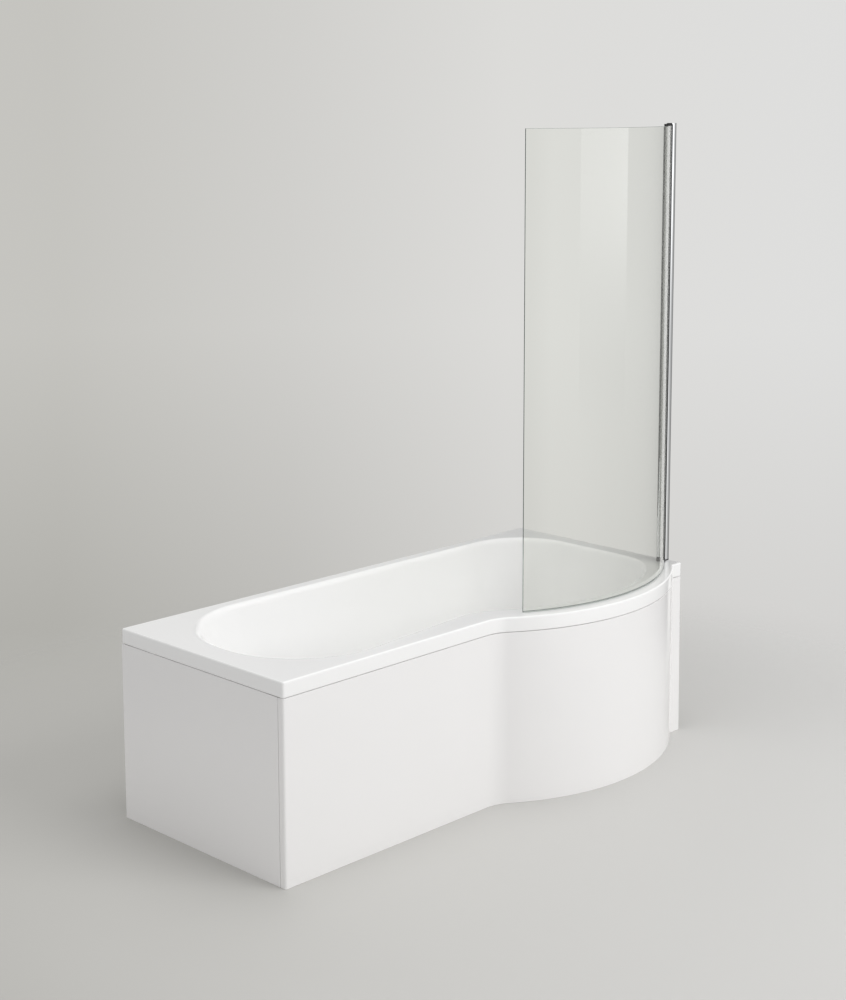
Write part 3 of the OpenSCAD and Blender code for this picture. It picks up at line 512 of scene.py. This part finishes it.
softWaves, woodGrain, flakes = makeSoftWaves(), makeWoodGrain(), makeFlakes()


def startMaterial(name, colour, roughness, **sockets):
    material = bpy.data.materials.new(name)
    material.use_nodes = True
    tree = material.node_tree
    shader = tree.nodes["Principled BSDF"]
    shader.inputs["Base Color"].default_value = (*colour, 1)
    shader.inputs["Roughness"].default_value = roughness
    for key, value in sockets.items():
        shader.inputs[key.replace("_", " ")].default_value = value
    coords = addNode(tree, "TexCoord").outputs["Object"]
    return material, tree, shader, coords


def tinted(tree, shader, mask, colour, share):    # a base colour that drifts a little towards a darker one
    dark = tuple(c * (1 - share) for c in colour)
    tree.links.new(mixColours(tree, mask, (*colour, 1), (*dark, 1)), shader.inputs["Base Color"])


def roughened(tree, shader, mask, low, high, start=0.3, end=0.7):    # most of a noise lies from 0.3 to 0.7
    tree.links.new(ranged(tree, mask, start, end, low, high), shader.inputs["Roughness"])


def bumped(tree, shader, height, distance, strength=1.0):
    bump = addNode(tree, "Bump", {"Height": height, "Distance": distance, "Strength": strength})
    tree.links.new(bump.outputs[0], shader.inputs["Normal"])


def glossPlastic(name, colour, roughness, waveScale, waveDepth, drift=0.02):
    material, tree, shader, coords = startMaterial(name, colour, roughness)
    waves = grouped(tree, softWaves, {"Vector": coords, "Scale": waveScale, "Grain": 900.0})
    tinted(tree, shader, waves.outputs["Patch"], colour, drift)
    roughened(tree, shader, waves.outputs["Fine"], roughness * 0.75, roughness * 1.3)
    bumped(tree, shader, waves.outputs["Height"], waveDepth)
    return material


def grainedPlastic(name, colour, roughness, grain, depth):
    material, tree, shader, coords = startMaterial(name, colour, roughness)
    waves = grouped(tree, softWaves, {"Vector": coords, "Scale": grain * 0.2, "Grain": grain})
    tinted(tree, shader, waves.outputs["Patch"], colour, 0.08)
    roughened(tree, shader, waves.outputs["Height"], roughness * 0.85, roughness * 1.15)
    bumped(tree, shader, waves.outputs["Fine"], depth)
    return material


def timber(name, alongX):
    material, tree, shader, coords = startMaterial(name, (0.72, 0.56, 0.36), 0.62)
    stretch = (0.12, 1, 1) if alongX else (1, 0.12, 1)
    mapped = addNode(tree, "Mapping", {"Vector": coords, "Scale": stretch}).outputs[0]
    grain = grouped(tree, woodGrain, {"Vector": mapped, "Light": (0.78, 0.63, 0.42, 1),
                                      "Dark": (0.52, 0.36, 0.19, 1)})
    tree.links.new(grain.outputs["Color"], shader.inputs["Base Color"])
    roughened(tree, shader, grain.outputs["Height"], 0.5, 0.72, 0, 1)
    bumped(tree, shader, grain.outputs["Height"], 0.0003, 0.6)
    return material


def flakeBoard(name, scale, light, dark, roughness, depth):
    material, tree, shader, coords = startMaterial(name, light, roughness)
    cells = grouped(tree, flakes, {"Vector": coords, "Scale": scale, "Light": (*light, 1),
                                   "Dark": (*dark, 1)})
    tree.links.new(cells.outputs["Color"], shader.inputs["Base Color"])
    bumped(tree, shader, cells.outputs["Height"], depth, 0.7)
    return material


def zincSteel():
    material, tree, shader, coords = startMaterial("zincSteel", (0.66, 0.67, 0.68), 0.38, Metallic=1.0)
    cells = grouped(tree, flakes, {"Vector": coords, "Scale": 90.0, "Light": (0.72, 0.73, 0.74, 1),
                                   "Dark": (0.52, 0.53, 0.55, 1)})
    tree.links.new(cells.outputs["Color"], shader.inputs["Base Color"])
    roughened(tree, shader, cells.outputs["Height"], 0.28, 0.48, 0, 1)
    return material


def drawnMetal(name, colour, roughness, lineDepth):    # polished, with faint lines along its length
    material, tree, shader, coords = startMaterial(name, colour, roughness, Metallic=1.0)
    mapped = addNode(tree, "Mapping", {"Vector": coords, "Scale": (1, 1, 0.004)}).outputs[0]
    waves = grouped(tree, softWaves, {"Vector": mapped, "Scale": 150.0, "Grain": 700.0})
    tinted(tree, shader, waves.outputs["Fine"], colour, 0.04)
    roughened(tree, shader, waves.outputs["Fine"], roughness * 0.85, roughness * 1.2)
    bumped(tree, shader, waves.outputs["Height"], lineDepth)
    return material


def clearSolid(name, colour, roughness, waveDepth):
    material, tree, shader, coords = startMaterial(
        name, colour, roughness, Transmission_Weight=1.0, IOR=1.5)
    waves = grouped(tree, softWaves, {"Vector": coords, "Scale": 6.0, "Grain": 60.0})
    bumped(tree, shader, waves.outputs["Height"], waveDepth)
    shadowRay = addNode(tree, "LightPath").outputs["Is Shadow Ray"]
    clear = addNode(tree, "BsdfTransparent", {"Color": (*[c ** 0.5 for c in colour], 1)})
    mixShaders(tree, shadowRay, shader, clear, tree.nodes["Material Output"])
    return material


finishes = {
    # the shell's acrylic is whiter than the panels': painted light that brightens the well
    "acrylic": glossPlastic("acrylic", (0.97, 0.968, 0.964), 0.1, 7.0, 0.0004, 0.01),
    "fibreBacking": flakeBoard("fibreBacking", 130.0, (0.80, 0.79, 0.74), (0.66, 0.65, 0.60), 0.55, 0.0008),
    "panelAcrylic": glossPlastic("panelAcrylic", (0.93, 0.92, 0.917), 0.12, 5.0, 0.0005),
    "board": flakeBoard("board", 320.0, (0.70, 0.56, 0.38), (0.45, 0.33, 0.20), 0.75, 0.0003),
    "timberAlong": timber("timberAlong", True),
    "timberAcross": timber("timberAcross", False),
    "zincSteel": zincSteel(),
    "chrome": drawnMetal("chrome", (0.82, 0.82, 0.83), 0.06, 0.000004),
    "brightAluminium": drawnMetal("brightAluminium", (0.83, 0.84, 0.85), 0.05, 0.000004),
    "blackPlastic": grainedPlastic("blackPlastic", (0.03, 0.03, 0.032), 0.4, 1500.0, 0.00004),
    "whitePlastic": grainedPlastic("whitePlastic", (0.80, 0.80, 0.78), 0.42, 1200.0, 0.00004),
    "blackRubber": grainedPlastic("blackRubber", (0.03, 0.03, 0.03), 0.7, 700.0, 0.00008),
    "clearGlass": clearSolid("clearGlass", (0.945, 0.955, 0.925), 0.0, 0.000006),
    "glassEdge": clearSolid("glassEdge", (0.15, 0.23, 0.20), 0.15, 0.00002),
    "clearVinyl": clearSolid("clearVinyl", (0.86, 0.90, 0.88), 0.2, 0.0001),
}
print("materials made:", len(finishes))


# dressing: what stands for each node

def dress(piece, *names):
    piece.data.materials.clear()
    for name in names:
        piece.data.materials.append(finishes[name])


def keepFaces(piece, *names):    # the finishes go on without changing which face has which
    chosen = [face.material_index for face in piece.data.polygons]
    dress(piece, *names)
    for face, index in zip(piece.data.polygons, chosen):
        face.material_index = index


def secondFinish(piece, name, isOther):
    piece.data.materials.append(finishes[name])
    for face in piece.data.polygons:
        face.material_index = 1 if isOther(face) else 0


def isLapped(face):    # the end of the outer jaw of the hinge rail
    out = fromScreenCentre(face)
    past = (radians(hingeTurn) - atan2(out.y, out.x)) * screen["radius"]
    outside = out.length > (screen["radius"] + screen["outerJaw"]) * mm
    return outside and past > screen["jaw"] - screen["lap"]


keepFaces(bathShell, "acrylic", "fibreBacking")
register(bathShell, "bath", "acrylic", "bath_shell")
dress(frontPanel, "panelAcrylic")
register(frontPanel, "bath", "panel_acrylic", "front_panel")
dress(endPanel, "panelAcrylic")
register(endPanel, "bath", "panel_acrylic", "end_panel")
keepFaces(screenGlass, "clearGlass", "glassEdge")
register(screenGlass, "screen", "clear_glass", "screen_glass")

copied = {    # node: name, body, slot, finish, edge rounding
    "baseboard": ("baseboard", "bath", "board", "board", 0.001),
    "rim_batten_back": ("rimBattenBack", "bath", "timber", "timberAlong", 0.001),
    "rim_batten_front": ("rimBattenFront", "bath", "timber", "timberAlong", 0.001),
    "rim_batten_narrow_end": ("rimBattenNarrowEnd", "bath", "timber", "timberAcross", 0.001),
    "rim_batten_shower_end": ("rimBattenShowerEnd", "bath", "timber", "timberAcross", 0.001),
    "floor_batten_front": ("floorBattenFront", "bath", "timber", "timberAlong", 0.001),
    "floor_batten_end": ("floorBattenEnd", "bath", "timber", "timberAcross", 0.001),
    "leg_rail_narrow": ("legRailNarrow", "bath", "zinc_steel", "zincSteel", 0.0006),
    "leg_rail_wide": ("legRailWide", "bath", "zinc_steel", "zincSteel", 0.0006),
    "centre_leg_plate": ("centreLegPlate", "bath", "zinc_steel", "zincSteel", 0.0005),
    "leg_studs": ("legStuds", "bath", "zinc_steel", "zincSteel", 0.0006),
    "leg_nuts": ("legNuts", "bath", "zinc_steel", "zincSteel", 0.0006),
    "leg_feet": ("legFeet", "bath", "black_plastic", "blackPlastic", 0.0006),
    "rail_screws": ("railScrews", "bath", "zinc_steel", "zincSteel", 0.0004),
    "wall_brackets": ("wallBrackets", "bath", "zinc_steel", "zincSteel", 0.0005),
    "bracket_screws": ("bracketScrews", "bath", "zinc_steel", "zincSteel", 0.0004),
    "waste_fitting": ("wasteFitting", "bath", "chrome", "chrome", 0.0003),
    "waste_gaskets": ("wasteGaskets", "bath", "black_rubber", "blackRubber", 0.0003),
    "waste_backnut": ("wasteBacknut", "bath", "white_plastic", "whitePlastic", 0.0005),
    "waste_cartridge": ("wasteCartridge", "bath", "white_plastic", "whitePlastic", 0.0003),
    "waste_plug": ("wastePlug", "plug", "chrome", "chrome", 0.0003),
    "plug_seal": ("plugSeal", "plug", "black_rubber", "blackRubber", 0.0003),
    "panel_clips": ("panelClips", "bath", "white_plastic", "whitePlastic", 0.0003),
    "clip_screws": ("clipScrews", "bath", "zinc_steel", "zincSteel", 0.0002),
    "wall_channel": ("wallChannel", "bath", "bright_aluminium", "brightAluminium", 0.0003),
    "channel_cap": ("channelCap", "bath", "black_plastic", "blackPlastic", 0.0003),
    "hinge_post": ("hingePost", "bath", "bright_aluminium", "brightAluminium", 0.0003),
    "post_screws": ("postScrews", "bath", "zinc_steel", "zincSteel", 0.0002),
    "pivot_bracket_top": ("pivotBracketTop", "bath", "black_plastic", "blackPlastic", 0.0004),
    "pivot_bracket_bottom": ("pivotBracketBottom", "bath", "black_plastic", "blackPlastic", 0.0004),
    "pivot_pins": ("pivotPins", "bath", "zinc_steel", "zincSteel", 0.0003),
    "pivot_bushes": ("pivotBushes", "screen", "white_plastic", "whitePlastic", 0.0002),
    "hinge_rail": ("hingeRail", "screen", "bright_aluminium", "brightAluminium", 0.0003),
    "rail_cap_top": ("railCapTop", "screen", "black_plastic", "blackPlastic", 0.0004),
    "rail_cap_bottom": ("railCapBottom", "screen", "black_plastic", "blackPlastic", 0.0004),
    "glazing_gasket": ("glazingGasket", "screen", "black_rubber", "blackRubber", 0.0002),
    "bottom_seal": ("bottomSeal", "screen", "clear_vinyl", "clearVinyl", 0.0003),
}
for nodeName, (name, body, slotName, finishName, edge) in copied.items():
    piece = copyOfNode(nodeName, name, edge)
    dress(piece, finishName)
    register(piece, body, slotName, nodeName)
    if nodeName == "wall_channel":    # its lowest few mm are black
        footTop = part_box("wall_channel")[0].z + screen["channelFoot"] * mm
        inEditMode(piece, lambda: bpy.ops.mesh.bisect(plane_co=(0, 0, footTop), plane_no=(0, 0, 1)))
        smoothByAngle(piece)
        secondFinish(piece, "blackPlastic", lambda face: face.center.z < footTop)
    if nodeName == "hinge_post":    # its front edge is black, up to the channel's mouth
        mouth = (rightX - screen["channelDepth"]) * mm
        secondFinish(piece, "blackRubber", lambda face: face.center.x < mouth)
    if nodeName == "hinge_rail":    # the lip of the glazing seal laps the end of the outer jaw
        secondFinish(piece, "blackRubber", isLapped)
print("copied pieces:", len(copied))


# floor, light and camera

studio = {
    "camera": (-3.784, -3.7136, 2.0554), "yaw": 0.7672, "pitch": 0.1491, "lens": 65.26, "sensor": 36,
    "shift": (-0.030, -0.13),
    # the backdrop's colours from left to right: painted shade on the left, painted light on the right
    "backdrop": ((0.0, (0.561, 0.554, 0.526)), (0.3, (0.632, 0.626, 0.606)),
                 (0.6, (0.717, 0.712, 0.695)), (1.0, (0.735, 0.734, 0.726))),
    "nearFloorShade": ((0.0, (0.440, 0.434, 0.407)), (0.3, (0.516, 0.509, 0.488)),
                  (0.6, (0.640, 0.633, 0.615)), (1.0, (0.657, 0.651, 0.638))),    # the same, darker low down: painted shade near the floor
    "backdropAcross": (-0.21, 0.19), "nearFloorFrom": -0.125, "nearFloorTo": -0.28,
    "ambient": 0.62,
    # the floor's colours: painted shade on the left, painted light on the right
    "floorShadedLeft": (0.575, 0.567, 0.539), "floorLitRight": (0.672, 0.667, 0.653), "floorAcross": (-1.3, 1.3),
    "floorFrom": 1.35, "floorTo": 2.4, "floorSpare": 0.3,
}
mirrored = {    # what gloss meets, by compass angle, and between which slopes of a ray each shows
    "low": ((-180, 0.15), (-158, 0.15), (-145, 1.0), (-100, 1.0), (-88, 2.0), (-72, 1.75), (-50, 0.95),
            (-35, 0.65), (-15, 0.45), (-2, 0.3), (5, 0.2), (7, 0.05), (12.5, 0.05), (14.5, 1.4), (21, 1.4),
            (24, 0.03), (35, 0.03), (40, 1.0), (58, 1.0), (72, 0.15), (180, 0.15)),
    "lowFades": (0.1, -0.02),
    "overDeck": ((-180, 1.0), (20, 1.0), (32, 0.1), (44, 0.15),
                 (46, 0.55), (49, 0.4), (53, 0.8), (60, 1.0)),
    "overDeckFades": (0.12, 0.18), "overDeckEnds": (0.6, 0.42),
}
softbox = {"place": (2.05, -2.75), "turn": radians(36), "width": 1.95, "heights": (0.1, 4.0),
           "fade": (0.4, 1.7), "radiance": 1.5}
shadeCard = {"low": (0.9, -0.3, 0.61), "high": (0.9, 0.45, 1.3), "colour": (0.25, 0.25, 0.25)}
lamps = {    # place, size, radiance, aims at, seen in reflections
    "keyPanel": ((1.3, -5.0, 3.4), (3.5, 3.5), 3.3, (0.0, 0.0, 0.5), False),
    "topPanel": ((0.5, -0.4, 4.6), (2.5, 2.5), 1.75, (0.0, 0.0, 0.5), False),
    "sidePanel": ((-4.2, 0.6, 2.6), (2.0, 2.0), 0.35, (0.7, 0.1, 0.4), False),
}


def acrossShare(tree, place, low, high):    # 0 at the left of the picture to 1 at its right
    across = (sin(studio["yaw"]), -cos(studio["yaw"]), 0)
    side = addNode(tree, "VectorMath", {0: place, 1: across}, operation="DOT_PRODUCT").outputs["Value"]
    return ranged(tree, side, low, high)


def makeFloor():
    deselectAll()
    bpy.ops.mesh.primitive_circle_add(
        vertices=96, radius=studio["floorTo"] + studio["floorSpare"], fill_type="NGON")
    floor = bpy.context.object
    floor.name = floor.data.name = "studioFloor"
    material, tree, shader, coords = startMaterial("studioFloor", studio["floorShadedLeft"], 0.6)
    # painted shade: the floor's colour darkens towards the left
    share = acrossShare(tree, coords, *studio["floorAcross"])
    colour = mixColours(tree, share, (*studio["floorShadedLeft"], 1), (*studio["floorLitRight"], 1))
    tree.links.new(colour, shader.inputs["Base Color"])
    distance = addNode(tree, "VectorMath", {0: coords}, operation="LENGTH").outputs["Value"]
    fade = ranged(tree, distance, studio["floorFrom"], studio["floorTo"], kind="SMOOTHSTEP")
    clear = addNode(tree, "BsdfTransparent")
    mixShaders(tree, fade, shader, clear, tree.nodes["Material Output"])
    floor.data.materials.append(material)


def backdropRamp(tree, share, stops):
    ramp = addNode(tree, "ValToRGB", {"Fac": share})
    elements = ramp.color_ramp.elements
    while len(elements) < len(stops):
        elements.new(0.5)    # put in its place below
    for element, (place, colour) in zip(elements, stops):
        element.position, element.color = place, (*colour, 1)
    return ramp.outputs["Color"]


def compassRamp(tree, compass, levels):
    return backdropRamp(tree, compass, [((angle + 180) / 360, (level,) * 3) for angle, level in levels])


def makeWorld():
    world = bpy.data.worlds.new("studioWorld")
    bpy.context.scene.world = world
    world.use_nodes = True
    tree = world.node_tree
    tree.nodes.clear()
    direction = addNode(tree, "TexCoord").outputs["Generated"]
    x, y, height = addNode(tree, "SeparateXYZ", {0: direction}).outputs
    # painted shade: the backdrop darkens to the left and, below the horizon, towards the floor
    across = acrossShare(tree, direction, *studio["backdropAcross"])
    upper, lower = (backdropRamp(tree, across, studio[k]) for k in ("backdrop", "nearFloorShade"))
    lowShade = ranged(tree, height, studio["nearFloorFrom"], studio["nearFloorTo"])
    colour = mixColours(tree, lowShade, upper, lower)

    paths = addNode(tree, "LightPath").outputs
    camera, glossy, bent = (paths["Is %s Ray" % k] for k in ("Camera", "Glossy", "Transmission"))
    compass = ranged(tree, mathNode(tree, "ARCTAN2", y, x), -pi, pi)
    # a ray bent through the glass counts as glossy too, and must not find the dark side
    inGloss = mathNode(tree, "MULTIPLY", glossy, mathNode(tree, "SUBTRACT", 1.0, bent))
    low = mathNode(tree, "MULTIPLY", ranged(tree, height, *mirrored["lowFades"]), inGloss)
    kept = mixColours(tree, low, (1, 1, 1, 1), compassRamp(tree, compass, mirrored["low"]))
    # the flat deck mirrors the wall behind it at a low angle, which is darker on the right
    above, below = (ranged(tree, height, *mirrored[k]) for k in ("overDeckFades", "overDeckEnds"))
    onDeck = mathNode(tree, "MULTIPLY", mathNode(tree, "MULTIPLY", above, below), inGloss)
    kept = mixColours(tree, onDeck, kept, compassRamp(tree, compass, mirrored["overDeck"]))
    level = addNode(tree, "SeparateColor", {"Color": kept}).outputs["Red"]

    viewed = mathNode(tree, "MAXIMUM", mathNode(tree, "MAXIMUM", camera, glossy), bent)
    seen = addNode(tree, "Background", {"Color": colour, "Strength": level})
    lit = addNode(tree, "Background", {"Color": (1, 1, 1, 1), "Strength": studio["ambient"]})
    mixShaders(tree, viewed, lit, seen, addNode(tree, "OutputWorld"))


def makeLamp(name, place, size, radiance, aim, seenInGloss):
    light = bpy.data.lights.new(name, "AREA")
    light.shape = "RECTANGLE"
    light.size, light.size_y = size
    light.energy = radiance * pi * size[0] * size[1]
    lamp = bpy.data.objects.new(name, light)
    bpy.context.scene.collection.objects.link(lamp)
    lamp.location = place
    lamp.rotation_euler = (Vector(place) - Vector(aim)).to_track_quat("Z", "Y").to_euler()
    lamp.visible_camera = False
    lamp.visible_glossy = lamp.visible_transmission = seenInGloss


def makeSoftbox():    # a tall lit panel in front that fades towards the floor; the glass mirrors it
    deselectAll()
    low, high = softbox["heights"]
    bpy.ops.mesh.primitive_plane_add(size=1, location=(*softbox["place"], (low + high) / 2),
                                     rotation=(pi / 2, 0, softbox["turn"]))
    box = bpy.context.object
    box.name = box.data.name = "softbox"
    box.scale = (softbox["width"], high - low, 1)
    bpy.ops.object.transform_apply(location=True, rotation=True, scale=True)
    material = bpy.data.materials.new("softbox")
    material.use_nodes = True
    tree = material.node_tree
    tree.nodes.clear()
    height = addNode(tree, "SeparateXYZ", {0: addNode(tree, "TexCoord").outputs["Object"]}).outputs["Z"]
    lit = ranged(tree, height, *softbox["fade"], kind="SMOOTHSTEP")
    strength = mathNode(tree, "MULTIPLY", lit, softbox["radiance"])
    glow = addNode(tree, "Emission", {"Color": (1, 1, 1, 1), "Strength": strength})
    clear = addNode(tree, "BsdfTransparent")
    # shows by reflection only, not through the glass
    reflected = mathNode(tree, "GREATER_THAN", addNode(tree, "LightPath").outputs["Glossy Depth"], 0.5)
    share = mathNode(tree, "MULTIPLY", lit, reflected)
    mixShaders(tree, share, clear, glow, addNode(tree, "OutputMaterial"))
    box.data.materials.append(material)
    box.visible_camera = box.visible_diffuse = box.visible_shadow = False


def makeShade():    # a grey card where the end wall would stand; only soft light meets it
    deselectAll()
    low, high = shadeCard["low"], shadeCard["high"]
    middle = [(a + b) / 2 for a, b in zip(low, high)]
    bpy.ops.mesh.primitive_plane_add(size=1, location=middle, rotation=(0, pi / 2, 0))
    card = bpy.context.object
    card.name = card.data.name = "shadeCard"
    card.scale = (high[2] - low[2], high[1] - low[1], 1)
    bpy.ops.object.transform_apply(location=True, rotation=True, scale=True)
    card.data.materials.append(startMaterial("shadeCard", shadeCard["colour"], 0.9)[0])
    card.visible_camera = card.visible_glossy = card.visible_transmission = card.visible_shadow = False


def makeCamera():
    camera = bpy.data.objects.new("camera", bpy.data.cameras.new("camera"))
    bpy.context.scene.collection.objects.link(camera)
    camera.location = studio["camera"]
    yaw, pitch = studio["yaw"], studio["pitch"]
    ahead = Vector((cos(yaw) * cos(pitch), sin(yaw) * cos(pitch), -sin(pitch)))
    camera.rotation_euler = ahead.to_track_quat("-Z", "Y").to_euler()
    camera.data.sensor_width, camera.data.lens = studio["sensor"], studio["lens"]
    camera.data.shift_x, camera.data.shift_y = studio["shift"]
    bpy.context.scene.camera = camera


makeFloor()
makeWorld()
makeSoftbox()
makeShade()
for name, settings in lamps.items():
    makeLamp(name, *settings)
makeCamera()
bpy.context.scene.view_settings.view_transform = "Standard"
print("studio made")
